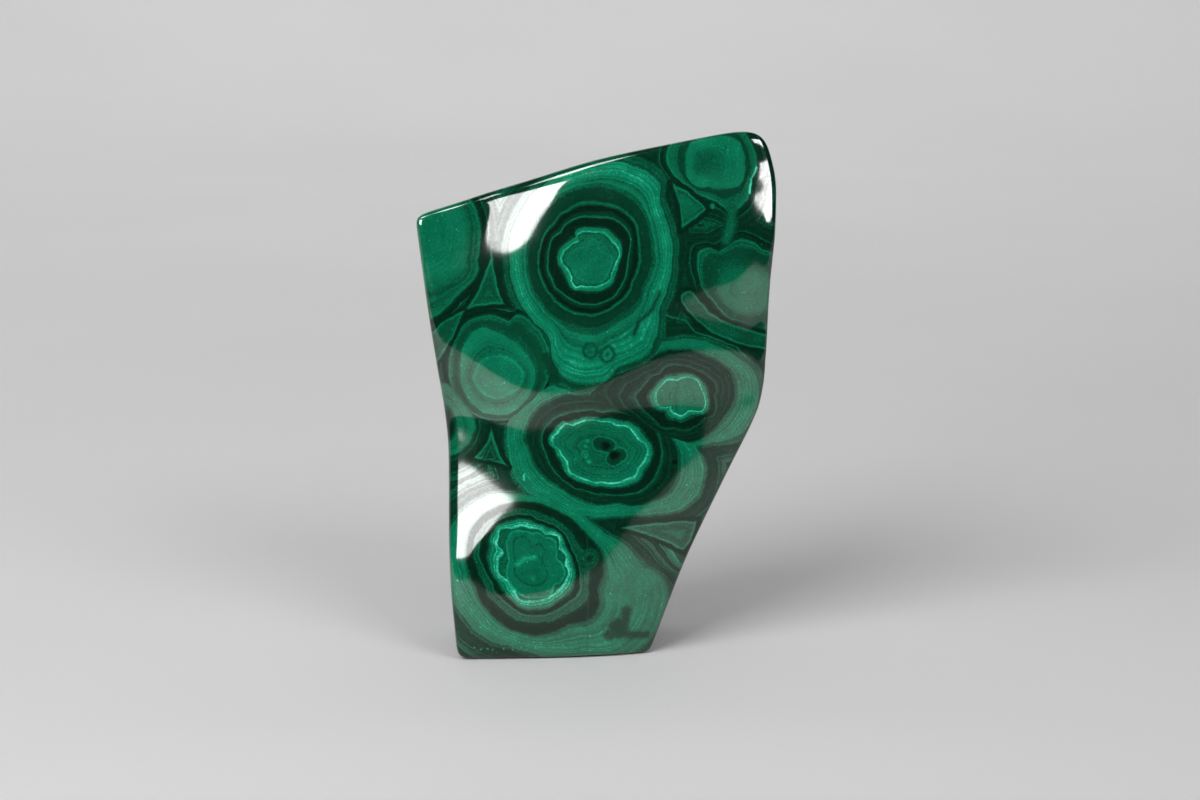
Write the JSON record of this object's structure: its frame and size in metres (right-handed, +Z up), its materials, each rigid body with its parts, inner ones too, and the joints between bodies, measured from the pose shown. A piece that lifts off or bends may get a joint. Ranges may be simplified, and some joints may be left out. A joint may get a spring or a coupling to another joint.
{
  "type": "malachite specimen",
  "caption": "Free-standing slab of polished malachite with a sawn flat foot, softly wavy faces and rounded edges, for display on a shelf or desk.",
  "frame": {"origin": "middle of the bounds at the sawn foot", "axes": "+Z up the standing stone; the broad display face looks along -Y; +X to the viewer's right"},
  "size_m": [0.0742, 0.0308, 0.1104],
  "materials": {
    "stone": "polished, banded green malachite with a glassy shine"
  },
  "bodies": {
    "root": {"stone": "stone"}
  },
  "joints": []
}
